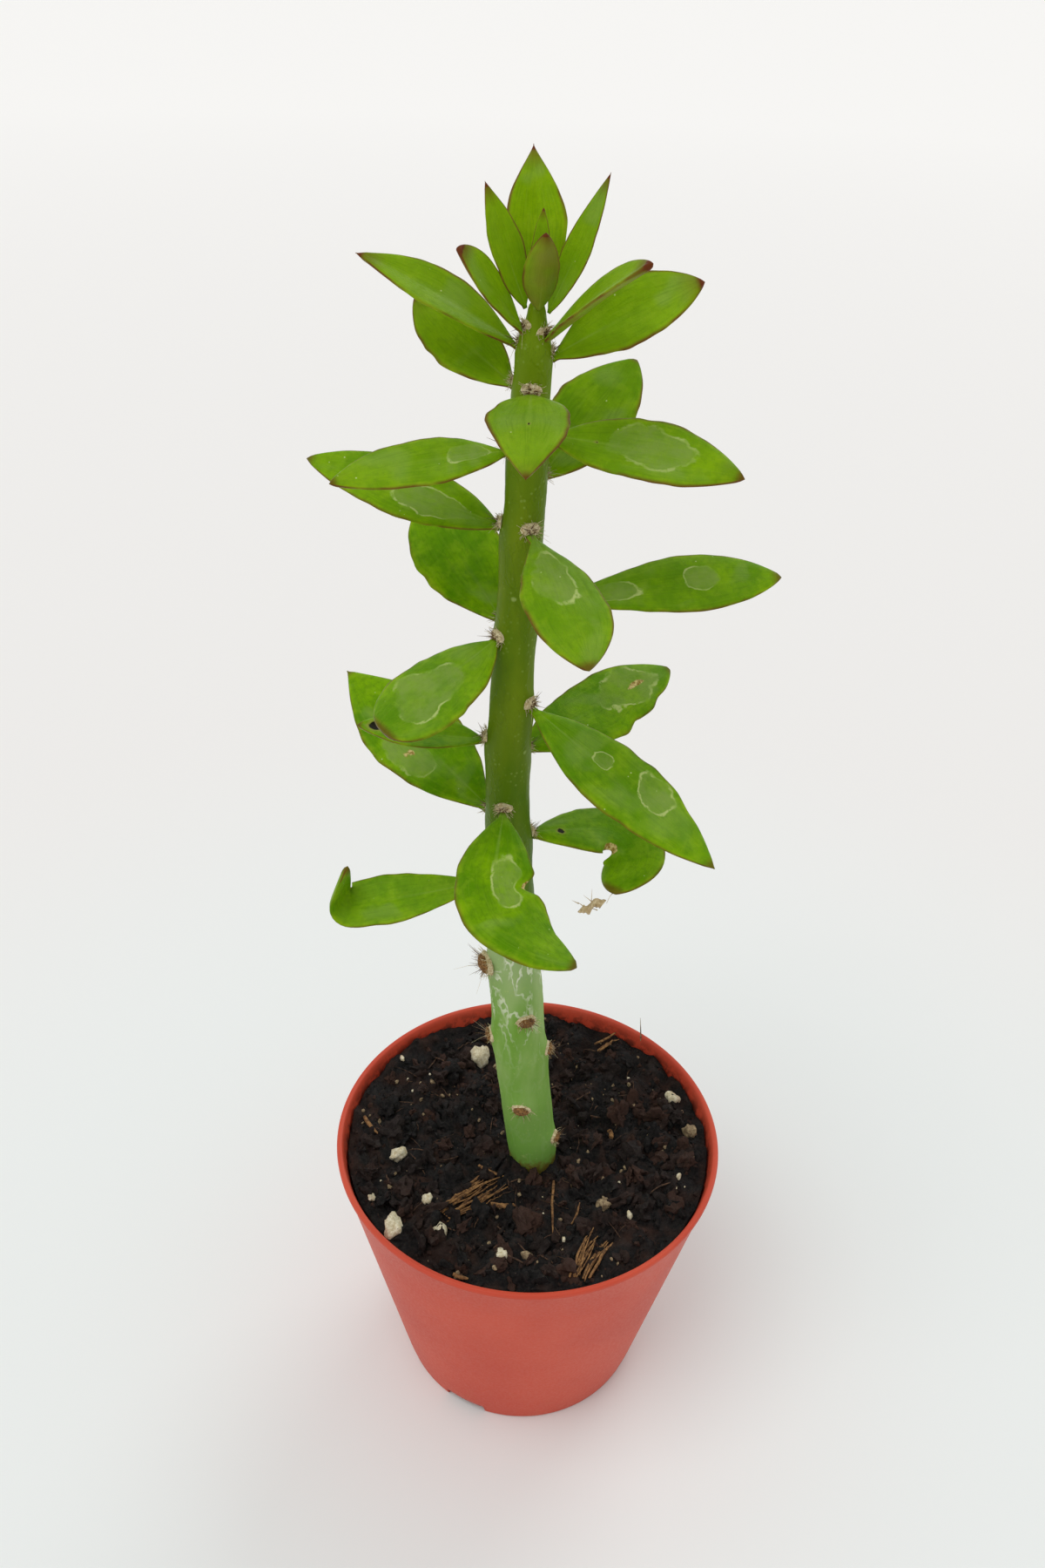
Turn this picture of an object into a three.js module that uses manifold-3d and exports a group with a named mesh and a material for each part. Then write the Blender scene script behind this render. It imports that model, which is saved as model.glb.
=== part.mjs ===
// A young pereskiopsis cutting standing in a small tapered nursery pot.
// Millimetres, +Z up. The origin is the centre of the pot's flat underside.
import * as THREE from "three";
import { mergeVertices } from "three/addons/utils/BufferGeometryUtils.js";
import Module from "manifold-3d";

const wasm = await Module();
wasm.setup();

// Pot
const POT_HEIGHT = 42;
const POT_BASE_RADIUS = 18.2;
const POT_TOP_RADIUS = 27.2;
const POT_WALL = 0.7;
const POT_FLOOR = 1.5;
const RIM_HEIGHT = 0.9;
const RIM_OVERHANG = 0.15;
const RIM_ROUND = 0.3;
const BASE_BEVEL = 0.5;
const FLOOR_BEVEL = 0.8;
const DRAIN_COUNT = 3;
const DRAIN_WIDTH = 4.6;
const DRAIN_HEIGHT = 2.6;
const DRAIN_INNER_RADIUS = 14.6;
const DRAIN_FIRST_ANGLE = -116;
const POT_SEGMENTS = 64;

// Soil
const CLEARANCE = 0.3;
const SOIL_TOP = 39.3;
const SOIL_BANK = 0.8;
const SOIL_BANK_RADIUS = 25;
const SOIL_BEVEL = 1;
const SOIL_SEGMENTS = 44;
const SOIL_TOP_RINGS = [0.94, 0.8, 0.64, 0.48, 0.34, 0.2, 0.1];

// Stem: height, then offset of the centre in X and Y, then radius
const STEM_STOPS = [
  [24, 1.2, -2.3, 2.8],
  [38, 0.8, -2, 3.1],
  [41, 0.6, -1.9, 3.2],
  [44.5, 0.2, -1.8, 3.4],
  [60, -1.6, -1.4, 3.4],
  [75, -2.7, -1, 3.3],
  [90, -3.7, -0.6, 2.8],
  [102, -4.3, -0.3, 2.6],
  [116, -3.9, -0.2, 2.4],
  [130, -3.4, -0.1, 2.2],
  [140, -3, -0.05, 2.1],
  [147, -2.8, 0, 1.75],
  [152, -2.6, 0, 1.45],
  [155, -2.5, 0, 1],
  [157.5, -2.5, 0, 0.7],
  [158.5, -2.5, 0, 0.2],
];
const STEM_FOOT = 22;
const STEM_TIP = 157.4;
const STEM_RINGS = 34;
const STEM_SIDES = 16;
const AREOLE_RADIUS = 0.75;
const AREOLE_SINK = 0.2;

// Leaves, from the lowest up. Angles are in degrees: azimuth is measured from +X towards +Y, rise is
// the slope at the stalk, bend, sweep and hook are how far the blade curves down, round and at its
// tip, turn is the part of the blade that sweeps, hookFrom and hookSpan say where it curls, roll leans
// the blade about its midrib, fold lifts both halves, wide is where it is broadest, sharp is how it
// narrows to the tip.
const LEAVES = [
  {
    height: 87.5, azimuth: -178, rise: -17, length: 25, width: 7,
    bend: 8, roll: -25, fold: 10, hook: 118, hookFrom: 0.68, hookSpan: 0.13,
  },
  {
    height: 94, azimuth: 20, rise: -4, length: 20.5, width: 9,
    bend: -20, sweep: -150, turn: [0.4, 0.85], roll: 10, wide: 0.6, sharp: 0.5,
  },
  {
    height: 96.7, azimuth: 138, rise: 19.5, length: 27.6, width: 11.8,
    roll: -20, fold: 5, wide: 0.5, sharp: 1.1,
  },
  {
    height: 99.5, azimuth: -96, rise: -19, length: 24, width: 10.2,
    bend: -3, sweep: 80, turn: [0.3, 0.85], wide: 0.53, sharp: 0.8,
  },
  {
    height: 105.5, azimuth: 42, rise: 9, length: 24.4, width: 8.8,
    bend: -5, roll: 25, fold: 5, wide: 0.5, sharp: 0.75,
  },
  {
    height: 107.7, azimuth: 178, rise: -1, length: 15, width: 6.2,
    bend: 12, roll: -10, fold: 15, wide: 0.5,
  },
  {
    height: 113, azimuth: -34, rise: -22, length: 27.3, width: 9,
    bend: -5, roll: 15, fold: 5, wide: 0.5, sharp: 1,
  },
  {
    height: 121.3, azimuth: -143, rise: -26, length: 16.2, width: 10,
    bend: 4, roll: -10, wide: 0.62, sharp: 0.45,
  },
  { height: 121.8, azimuth: 125, rise: 27, length: 19.5, width: 10.6, roll: -20, fold: 5 },
  { height: 125, azimuth: 8, rise: 9, length: 27, width: 7.7, bend: -7, roll: 28, fold: 5, wide: 0.62 },
  {
    height: 133.8, azimuth: 168, rise: 17, length: 22, width: 7.5,
    bend: -6, roll: -30, fold: 10, wide: 0.5,
  },
  { height: 134, azimuth: -70, rise: -4, length: 19.2, width: 8.8, bend: -33, wide: 0.62 },
  { height: 138.8, azimuth: 50, rise: 31, length: 18.2, width: 9.2, roll: 20, fold: 5, wide: 0.5 },
  {
    height: 142.3, azimuth: -161, rise: 0, length: 18.4, width: 6.4,
    bend: -10, roll: -25, fold: 5, wide: 0.5,
  },
  {
    height: 144, azimuth: -18, rise: 2, length: 20.2, width: 7.4,
    bend: -12, roll: 34, fold: 5, wide: 0.5,
  },
  {
    height: 148.3, azimuth: -91, rise: 3, length: 13.8, width: 8,
    bend: -36, fold: 5, wide: 0.42, sharp: 1.05,
  },
  { height: 148.5, azimuth: 150, rise: 28, length: 14, width: 7, bend: 4, roll: -42, fold: 10 },
  { height: 151.7, azimuth: -3, rise: 33, length: 16.2, width: 7, bend: -8, roll: 50, fold: 10 },
  {
    height: 152.6, azimuth: 175, rise: 34, length: 17.8, width: 5.6,
    bend: -14, roll: -30, fold: 15, wide: 0.5, sharp: 1.15,
  },
  { height: 153.7, azimuth: -48, rise: 38, length: 16.4, width: 5.2, bend: -6, roll: 32, fold: 20 },
  {
    height: 154.2, azimuth: -150, rise: 50, length: 11, width: 4.6,
    roll: -47, fold: 15, wide: 0.6, sharp: 0.7,
  },
  {
    height: 156, azimuth: 95, rise: 62, length: 15.9, width: 6.4,
    bend: -6, fold: 12, wide: 0.47, sharp: 1.3,
  },
  {
    height: 156.4, azimuth: 174, rise: 68, length: 11.8, width: 3.8,
    bend: 4, roll: -50, fold: 15, wide: 0.45, sharp: 1.1,
  },
  {
    height: 156, azimuth: 8, rise: 64, length: 13.6, width: 3,
    bend: 6, roll: 50, fold: 15, wide: 0.42, sharp: 1.1,
  },
  { height: 156.6, azimuth: -80, rise: 66, length: 7.8, width: 3.7, bend: 10, fold: 20, wide: 0.45 },
  { height: 158.3, azimuth: 80, rise: 76, length: 7, width: 2, bend: 4, fold: 20, wide: 0.4 },
];
const LEAF_STATIONS = 16;
const LEAF_DEFAULTS = {
  bend: 0, sweep: 0, turn: [0, 1], roll: 0, fold: 0,
  wide: 0.55, sharp: 0.85, hook: 0, hookFrom: 0.8, hookSpan: 0.2,
};
const STALK_RATIO = 0.12;
const BLADE_GAUGE = 0.13;
const BLADE_THINNEST = 0.4;
const BLADE_THICKEST = 1.1;
const BLADE_ACROSS = [1, 0.5, 0, -0.5, -1];

// Bare areoles on the old stem: height, azimuth and size
const BARE_AREOLES = [
  [75.5, -160, 1.7],
  [67.8, -70, 1.2],
  [62.8, -172, 1.2],
  [60.5, -8, 1.1],
  [52, -97, 1.2],
  [44.5, -20, 1.1],
  [57, 95, 1.1],
  [71, 60, 1.2],
];

// Perlite: X, Y and radius
const PERLITE = [
  [-17.7, -16.3, 1.75],
  [-11.6, -16.5, 1.25],
  [-18.3, -3.7, 1.2],
  [-7.7, 16.8, 1.8],
  [21.7, 8.8, 1.15],
  [23.7, 2.4, 1.2],
  [10.7, -11.2, 1.1],
  [-3.2, -19.9, 1],
  [-13.7, -11.5, 0.9],
  [-21.3, -11.4, 0.65],
];
const PERLITE_RISE = 0.35;

// Bark fibres on the soil: X, Y, direction and length
const FIBRES = [
  [-7.2, -10.2, 43, 10.2],
  [3.2, -11.2, -97, 11.2],
  [8.6, -19.2, 68, 8.4],
  [12.5, 19.5, 28, 4.2],
];
const FIBRE_RADIUS = 0.35;
const FIBRE_SIDES = 6;
const FIBRE_LIFT = 1;

// Dry scrap of old leaf hanging beside the second leaf
const SCRAP_CENTRE = [6.2, -9.6, 91.2];
const SCRAP_LENGTH = 3.4;
const SCRAP_WIDTH = 1;
const SCRAP_GAUGE = 0.3;

const radians = THREE.MathUtils.degToRad;

// Interpolates one column of the stem stops at a height.
function stemAt(height, column) {
  const last = STEM_STOPS.length - 1;
  const upper = Math.min(last, Math.max(1, STEM_STOPS.findIndex((stop) => stop[0] >= height)));
  const low = STEM_STOPS[upper - 1];
  const high = STEM_STOPS[upper];
  const share = THREE.MathUtils.clamp((height - low[0]) / (high[0] - low[0]), 0, 1);
  return low[column] + share * (high[column] - low[column]);
}

function stemCentre(height) {
  return new THREE.Vector3(stemAt(height, 1), stemAt(height, 2), height);
}

function heading(azimuth, rise) {
  const level = Math.cos(radians(rise));
  const turn = radians(azimuth);
  return new THREE.Vector3(level * Math.cos(turn), level * Math.sin(turn), Math.sin(radians(rise)));
}

function stemSurface(height, azimuth, gap) {
  return stemCentre(height).addScaledVector(heading(azimuth, 0), stemAt(height, 3) + gap);
}

function circle(centre, radius, sides, across, up) {
  const ring = [];
  for (let k = 0; k < sides; k += 1) {
    const turn = (2 * Math.PI * k) / sides;
    const point = centre.clone().addScaledVector(across, radius * Math.cos(turn));
    ring.push(point.addScaledVector(up, radius * Math.sin(turn)));
  }
  return ring;
}

function middle(ring) {
  const sum = new THREE.Vector3();
  ring.forEach((point) => sum.add(point));
  return sum.divideScalar(ring.length);
}

// Skins a row of rings, each running counter-clockwise about the direction of travel.
function loft(rings) {
  const sides = rings[0].length;
  const vertices = rings.flat();
  const start = vertices.push(middle(rings[0])) - 1;
  const end = vertices.push(middle(rings[rings.length - 1])) - 1;
  const top = (rings.length - 1) * sides;
  const faces = [];
  for (let k = 0; k < sides; k += 1) {
    const next = (k + 1) % sides;
    faces.push(start, next, k);
    faces.push(end, top + k, top + next);
    for (let row = 0; row < top; row += sides) {
      faces.push(row + k, row + next, row + sides + next);
      faces.push(row + k, row + sides + next, row + sides + k);
    }
  }
  const geometry = new THREE.BufferGeometry().setFromPoints(vertices);
  geometry.setIndex(faces);
  return geometry;
}

// Keeps only the positions of a ready-made shape and joins its shared corners.
function welded(geometry) {
  geometry.deleteAttribute("normal");
  geometry.deleteAttribute("uv");
  return mergeVertices(geometry);
}

function toSolid(geometry) {
  return new wasm.Manifold(new wasm.Mesh({
    numProp: 3,
    vertProperties: new Float32Array(geometry.attributes.position.array),
    triVerts: new Uint32Array(geometry.index.array),
  }));
}

function toGeometry(solid) {
  const mesh = solid.getMesh();
  const geometry = new THREE.BufferGeometry();
  geometry.setAttribute("position", new THREE.BufferAttribute(new Float32Array(mesh.vertProperties), 3));
  geometry.setIndex(new THREE.BufferAttribute(new Uint32Array(mesh.triVerts), 1));
  return geometry;
}

function potOuterRadius(height) {
  return POT_BASE_RADIUS + (POT_TOP_RADIUS - POT_BASE_RADIUS) * (height / POT_HEIGHT);
}

// The wall, floor and rim, turned about the axis from the middle of the underside round to the floor.
function potBody() {
  const rimFoot = POT_HEIGHT - RIM_HEIGHT;
  const lip = POT_TOP_RADIUS + RIM_OVERHANG;
  const mouth = POT_TOP_RADIUS - POT_WALL;
  const bevelTop = POT_FLOOR + FLOOR_BEVEL;
  const profile = [
    [0, 0],
    [POT_BASE_RADIUS - BASE_BEVEL, 0],
    [potOuterRadius(BASE_BEVEL), BASE_BEVEL],
    [potOuterRadius(rimFoot), rimFoot],
    [lip - RIM_ROUND / 6, rimFoot + RIM_HEIGHT / 4],
    [lip, rimFoot + RIM_HEIGHT / 2],
    [lip - RIM_ROUND / 3, POT_HEIGHT - RIM_ROUND / 2],
    [lip - RIM_ROUND, POT_HEIGHT],
    [mouth + RIM_ROUND / 2, POT_HEIGHT],
    [mouth, POT_HEIGHT - RIM_ROUND],
    [potOuterRadius(bevelTop) - POT_WALL, bevelTop],
    [potOuterRadius(POT_FLOOR) - POT_WALL - FLOOR_BEVEL, POT_FLOOR],
    [0, POT_FLOOR],
  ];
  const outline = profile.map(([radius, height]) => new THREE.Vector2(radius, height));
  return welded(new THREE.LatheGeometry(outline, POT_SEGMENTS).rotateX(Math.PI / 2));
}

function drainCutter(angle) {
  const reach = POT_BASE_RADIUS + 2 - DRAIN_INNER_RADIUS;
  const cutter = new THREE.BoxGeometry(reach, DRAIN_WIDTH, 2 * DRAIN_HEIGHT);
  return welded(cutter.translate(DRAIN_INNER_RADIUS + reach / 2, 0, 0).rotateZ(radians(angle)));
}

function potSolid() {
  let pot = toSolid(potBody());
  for (let k = 0; k < DRAIN_COUNT; k += 1) {
    pot = pot.subtract(toSolid(drainCutter(DRAIN_FIRST_ANGLE + (360 * k) / DRAIN_COUNT)));
  }
  return pot;
}

function soilHeight(x, y) {
  const swell = 0.45 * Math.sin(0.31 * x + 1.3) * Math.cos(0.27 * y + 0.4);
  const clods = 0.35 * Math.sin(0.83 * x - 0.52 * y) + 0.25 * Math.cos(0.61 * x + 0.97 * y);
  const bank = SOIL_BANK * (Math.hypot(x, y) / SOIL_BANK_RADIUS) ** 4;
  return SOIL_TOP + swell + clods + bank;
}

function soilRing(radius, height) {
  const ring = circle(new THREE.Vector3(), radius, SOIL_SEGMENTS, axisX, axisY);
  return ring.map((p) => p.setZ(height === undefined ? soilHeight(p.x, p.y) : height));
}

function soilSolid(sunk) {
  const fit = (height) => potOuterRadius(height) - POT_WALL - CLEARANCE;
  const foot = POT_FLOOR + CLEARANCE;
  const rings = [soilRing(fit(foot) - SOIL_BEVEL, foot), soilRing(fit(foot + SOIL_BEVEL), foot + SOIL_BEVEL)];
  rings.push(soilRing(fit(SOIL_TOP - 2), SOIL_TOP - 2));
  SOIL_TOP_RINGS.forEach((share) => rings.push(soilRing(share * fit(SOIL_TOP))));
  return sunk.reduce((soil, piece) => soil.subtract(piece), toSolid(loft(rings)));
}

function stemRing(height, gap) {
  return circle(stemCentre(height), stemAt(height, 3) + gap, STEM_SIDES, axisX, axisY);
}

function stemSolid() {
  const rings = [];
  for (let k = 0; k <= STEM_RINGS; k += 1) {
    rings.push(stemRing(STEM_FOOT + ((STEM_TIP - STEM_FOOT) * k) / STEM_RINGS, 0));
  }
  return BARE_AREOLES.reduce((stem, [height, azimuth, size]) => {
    const spot = stemSurface(height, azimuth, -AREOLE_SINK);
    const cushion = new THREE.IcosahedronGeometry(AREOLE_RADIUS * size, 1).translate(...spot.toArray());
    return stem.add(toSolid(welded(cushion)));
  }, toSolid(loft(rings)));
}

function stemSocket() {
  const rings = [STEM_FOOT - CLEARANCE, SOIL_TOP + 4].map((height) => stemRing(height, CLEARANCE + 0.1));
  return toSolid(loft(rings));
}

function bladeHalfWidth(leaf, along) {
  const rate = (leaf.sharp * leaf.wide) / (1 - leaf.wide);
  const swell = (s) => s ** rate * (1 - s) ** leaf.sharp;
  const blade = swell(along) / swell(leaf.wide);
  return (leaf.width / 2) * Math.max(blade, STALK_RATIO * (1 - along), 0.02);
}

function bladeRing(leaf, along, spot, forward, side) {
  const up = forward.clone().cross(side);
  const lean = radians(leaf.roll);
  const across = side.clone().multiplyScalar(Math.cos(lean)).addScaledVector(up, Math.sin(lean));
  const out = forward.clone().cross(across);
  const half = bladeHalfWidth(leaf, along);
  const full = THREE.MathUtils.clamp(BLADE_GAUGE * leaf.width, BLADE_THINNEST, BLADE_THICKEST);
  const gauge = Math.min(full, 2 * half) / 2;
  const place = (share, face) => {
    const lift = Math.abs(share) * half * Math.sin(radians(leaf.fold)) + face * gauge * (1 - share * share);
    const reach = share * half * Math.cos(radians(leaf.fold));
    return spot.clone().addScaledVector(across, reach).addScaledVector(out, lift);
  };
  const upper = BLADE_ACROSS.map((share) => place(share, 1));
  const lower = BLADE_ACROSS.slice(1, -1).reverse().map((share) => place(share, -1));
  return [...upper, ...lower];
}

function leafGeometry(row) {
  const leaf = { ...LEAF_DEFAULTS, ...row };
  const spot = stemSurface(leaf.height, leaf.azimuth, CLEARANCE);
  const rings = [];
  for (let k = 0; k <= LEAF_STATIONS; k += 1) {
    const along = k / LEAF_STATIONS;
    const curl = leaf.hook * THREE.MathUtils.clamp((along - leaf.hookFrom) / leaf.hookSpan, 0, 1);
    const [from, to] = leaf.turn;
    const azimuth = leaf.azimuth + leaf.sweep * THREE.MathUtils.clamp((along - from) / (to - from), 0, 1);
    const forward = heading(azimuth, leaf.rise + leaf.bend * along + curl);
    const side = heading(azimuth + 90, 0);
    rings.push(bladeRing(leaf, along, spot.clone(), forward, side));
    spot.addScaledVector(forward, leaf.length / LEAF_STATIONS);
  }
  return loft(rings);
}

function perliteGeometry([x, y, radius], grow) {
  const grain = new THREE.IcosahedronGeometry(radius + grow, 1).scale(1, 0.85, 0.8);
  grain.rotateX(radians(20 * x)).rotateY(radians(15 * y));
  return welded(grain.translate(x, y, soilHeight(x, y) + PERLITE_RISE));
}

function fibreGeometry([x, y, turn, length]) {
  const along = heading(turn, 0);
  const side = heading(turn + 90, 0);
  const rings = [-0.5, -0.2, 0.1, 0.35, 0.5].map((share, k) => {
    const spot = new THREE.Vector3(x, y, 0).addScaledVector(along, share * length);
    spot.addScaledVector(side, k % 2 ? 0.3 : -0.2);
    spot.z = soilHeight(spot.x, spot.y) + FIBRE_LIFT;
    return circle(spot, FIBRE_RADIUS, FIBRE_SIDES, side, axisZ);
  });
  return loft(rings);
}

function scrapGeometry() {
  const rings = [-0.5, -0.25, 0, 0.25, 0.5].map((share, k) => {
    const spot = new THREE.Vector3(...SCRAP_CENTRE);
    spot.x += share * SCRAP_LENGTH;
    spot.z += share * 1.4 + (k % 2 ? 0.15 : -0.15);
    const half = SCRAP_WIDTH * (0.5 - Math.abs(share) * 0.6);
    return [[half, 0], [0, SCRAP_GAUGE / 2], [-half, 0], [0, -SCRAP_GAUGE / 2]].map(([across, up]) => {
      return spot.clone().addScaledVector(axisY, across).addScaledVector(axisZ, up);
    });
  });
  return loft(rings);
}

function addMesh(parent, name, geometry, look) {
  geometry.computeVertexNormals();
  const mesh = new THREE.Mesh(geometry, new THREE.MeshStandardMaterial(look));
  mesh.name = name;
  parent.add(mesh);
}

const axisX = new THREE.Vector3(1, 0, 0);
const axisY = new THREE.Vector3(0, 1, 0);
const axisZ = new THREE.Vector3(0, 0, 1);

const group = new THREE.Group();
group.name = "potted_pereskiopsis";
const plant = new THREE.Group();
plant.name = "plant";
const ground = new THREE.Group();
ground.name = "ground";
group.add(plant, ground);

const dimples = PERLITE.map((grain) => toSolid(perliteGeometry(grain, CLEARANCE)));
addMesh(group, "pot", toGeometry(potSolid()), { color: 0xbb4a38, roughness: 0.55, metalness: 0 });
addMesh(ground, "soil", toGeometry(soilSolid([stemSocket(), ...dimples])), {
  color: 0x2b211a,
  roughness: 0.95,
  metalness: 0,
});
addMesh(plant, "stem", toGeometry(stemSolid()), { color: 0x5f7d2c, roughness: 0.6, metalness: 0 });
LEAVES.forEach((row, k) => {
  addMesh(plant, `leaf_${String(k + 1).padStart(2, "0")}`, leafGeometry(row), {
    color: 0x5c9a1e,
    roughness: 0.45,
    metalness: 0,
  });
});
PERLITE.forEach((grain, k) => {
  addMesh(ground, `perlite_${String(k + 1).padStart(2, "0")}`, perliteGeometry(grain, 0), {
    color: 0xe9e4d8,
    roughness: 0.9,
    metalness: 0,
  });
});
FIBRES.forEach((fibre, k) => {
  addMesh(ground, `fibre_${k + 1}`, fibreGeometry(fibre), { color: 0x6b4a2c, roughness: 0.9, metalness: 0 });
});
addMesh(plant, "dry_scrap", scrapGeometry(), { color: 0xc2a678, roughness: 0.9, metalness: 0 });

export default group;
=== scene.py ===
"""A potted pereskiopsis cutting: fleshy leaves, spined stem, nursery pot and soil. Metres, +Z up."""
import math
import random

import bmesh
import bpy
from mathutils import Matrix, Quaternion, Vector, noise


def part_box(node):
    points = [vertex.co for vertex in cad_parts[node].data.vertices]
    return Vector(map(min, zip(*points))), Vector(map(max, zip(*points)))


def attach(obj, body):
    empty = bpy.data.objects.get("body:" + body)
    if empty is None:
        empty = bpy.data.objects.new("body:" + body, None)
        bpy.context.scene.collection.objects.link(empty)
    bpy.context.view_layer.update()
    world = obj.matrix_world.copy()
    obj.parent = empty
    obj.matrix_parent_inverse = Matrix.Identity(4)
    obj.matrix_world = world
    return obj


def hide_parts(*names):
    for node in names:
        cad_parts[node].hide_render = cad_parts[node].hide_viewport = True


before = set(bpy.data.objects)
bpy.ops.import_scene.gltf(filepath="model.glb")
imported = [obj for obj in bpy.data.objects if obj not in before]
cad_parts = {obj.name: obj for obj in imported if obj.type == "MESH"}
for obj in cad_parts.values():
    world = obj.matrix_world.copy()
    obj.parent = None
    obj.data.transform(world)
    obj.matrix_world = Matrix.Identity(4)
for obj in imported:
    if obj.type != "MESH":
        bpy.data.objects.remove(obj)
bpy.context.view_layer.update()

MM = 0.001
SEEDS = dict(areoles=41, crumbs=17, grains=5, fibres=29, scrap=3)

# ---------------------------------------------------------------- shape of the plant, in millimetres

# height, centre offset in X and Y, radius
STEM_STOPS = [
    (24, 1.2, -2.3, 2.8),
    (38, 0.8, -2.0, 3.1),
    (41, 0.6, -1.9, 3.2),
    (44.5, 0.2, -1.8, 3.4),
    (60, -1.6, -1.4, 3.4),
    (75, -2.7, -1.0, 3.3),
    (90, -3.7, -0.6, 2.8),
    (102, -4.3, -0.3, 2.6),
    (116, -3.9, -0.2, 2.4),
    (130, -3.4, -0.1, 2.2),
    (140, -3.0, -0.05, 2.1),
    (147, -2.8, 0, 1.75),
    (152, -2.6, 0, 1.45),
    (155, -2.5, 0, 1.0),
    (157.5, -2.5, 0, 0.7),
    (158.5, -2.5, 0, 0.2),
]
STEM_FOOT = 33
STEM_TIP = 157.6
OLD_WOOD_TOP = 79.5

# height, azimuth, rise, length, width, then what else the leaf has
LEAVES = [
    (87.5, -178, -17, 25, 7, dict(dull=0.6, bend=8, roll=-25, fold=10,
        hook=118, hook_from=0.68, hook_span=0.13)),
    (94, 20, -4, 20.5, 9, dict(dull=0.1, bend=-20, sweep=-150, turn=(0.4, 0.85), roll=10, wide=0.6, sharp=0.5,
        notch=(0.62, 0.14, 0.5, -1), scar=[(0.6, -0.8, 0.09, 0.22)], dots=[(0.18, -0.1, 0.45)])),
    (96.7, 138, 19.5, 27.6, 11.8, dict(dull=0.1, roll=-20, fold=5, wide=0.5, sharp=1.1,
        ring=[(0.45, 0.42, 0.14, 0.4)], scar=[(0.45, 0.42, 0.035, 0.13)])),
    (99.5, -96, -19, 24, 10.2, dict(dull=0.25, sweep=80, turn=(0.3, 0.85), bend=-3, wide=0.53, sharp=0.8,
        notch=(0.45, 0.07, 0.38, 1), ring=[(0.42, 0.3, 0.15, 0.45)], scar=[(0.44, 0.95, 0.035, 0.12)])),
    (105.5, 42, 9, 24.4, 8.8, dict(dull=0.1, bend=-5, roll=25, fold=5, wide=0.5, jag=-0.3, sharp=0.75,
        ring=[(0.7, 0.1, 0.19, 0.7)], scar=[(0.73, 0.05, 0.08, 0.1)])),
    (107.7, 178, -1, 15, 6.2, dict(dull=0.3, bend=12, roll=-10, fold=15, wide=0.5, dots=[(0.86, 0.1, 0.8)])),
    (113, -34, -22, 27.3, 9, dict(dull=0.45, bend=-5, roll=15, fold=5, wide=0.5, sharp=1.0, jag=0.14,
        ring=[(0.62, 0.4, 0.1, 0.5), (0.37, 0.15, 0.05, 0.26)])),
    (121.3, -143, -26, 16.2, 10, dict(dull=0.55, bend=4, roll=-10, wide=0.62, sharp=0.45,
        ring=[(0.6, 0.0, 0.24, 0.62)])),
    (121.8, 125, 27, 19.5, 10.6, dict(dull=0, roll=-20, fold=5)),
    (125, 8, 9, 27, 7.7, dict(dull=0.35, bend=-7, roll=28, fold=5, wide=0.62,
        ring=[(0.28, 0.0, 0.12, 0.5), (0.66, 0.1, 0.07, 0.42)])),
    (133.8, 168, 17, 22, 7.5, dict(dull=0.3, bend=-6, roll=-30, fold=10, wide=0.5,
        ring=[(0.34, 0.2, 0.2, 0.5)])),
    (134, -70, -4, 19.2, 8.8, dict(dull=0.7, bend=-33, wide=0.62, ring=[(0.42, -0.1, 0.2, 0.62)])),
    (138.8, 50, 31, 18.2, 9.2, dict(dull=0.05, roll=20, fold=5, wide=0.5)),
    (142.3, -161, 0, 18.4, 6.4, dict(dull=0.4, bend=-10, roll=-25, fold=5, wide=0.5,
        ring=[(0.24, -0.1, 0.13, 0.5)])),
    (144, -18, 2, 20.2, 7.4, dict(dull=0.3, bend=-12, roll=34, fold=5, wide=0.5,
        ring=[(0.52, 0.05, 0.22, 0.72)], dots=[(0.24, 0.0, 0.25)])),
    (148.3, -91, 3, 13.8, 8, dict(dull=0.9, bend=-36, fold=5, wide=0.42, sharp=1.05, dots=[(0.5, 0.0, 0.2)])),
    (148.5, 150, 28, 14, 7, dict(dull=0.25, bend=4, roll=-42, fold=10)),
    (151.7, -3, 33, 16.2, 7, dict(dull=0.35, bend=-8, roll=50, fold=10)),
    (152.6, 175, 34, 17.8, 5.6, dict(dull=0.6, bend=-14, roll=-30, fold=15, wide=0.5, sharp=1.15)),
    (153.7, -48, 38, 16.4, 5.2, dict(dull=0.5, bend=-6, roll=32, fold=20)),
    (154.2, -150, 50, 11, 4.6, dict(dull=0.3, roll=-47, fold=15, wide=0.6, sharp=0.7)),
    (156, 95, 62, 15.9, 6.4, dict(dull=0, bend=-6, fold=12, wide=0.47, sharp=1.3)),
    (156.4, 174, 68, 11.8, 3.8, dict(dull=0.35, bend=4, roll=-50, fold=15, wide=0.45, sharp=1.1)),
    (156, 8, 64, 13.6, 3, dict(dull=0.45, bend=6, roll=50, fold=15, wide=0.42, sharp=1.1)),
    (156.6, -80, 66, 7.8, 3.7, dict(dull=0.1, bend=10, fold=20, wide=0.45)),
    (158.3, 80, 76, 7, 2, dict(bend=4, fold=20, wide=0.4)),
]
LEAF_ROWS = 56
LEAF_HALF_COLUMNS = 9
# among a leaf's defaults is its share of painted grey sheen
LEAF_DEFAULTS = dict(
    bend=0, sweep=0, turn=(0, 1), roll=0, fold=0, wide=0.55, sharp=0.85, hook=0, hook_from=0.8, hook_span=0.2,
    ring=(), scar=(), dots=(), notch=None, jag=0, dull=0.25,
)
CLEARANCE = 0.3
STALK_RATIO = 0.12
BLADE_GAUGE = 0.13
BLADE_THINNEST = 0.4
BLADE_THICKEST = 1.15
BLADE_WAVE = 0.075
MARGIN_RIPPLES = ((4, 0.11), (13, 0.045))  # waves along the blade, and depth as a share of its width
JAG_WAVES = 11
GROOVE_DEPTH = 0.12
GROOVE_HALF_WIDTH = 0.09
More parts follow.
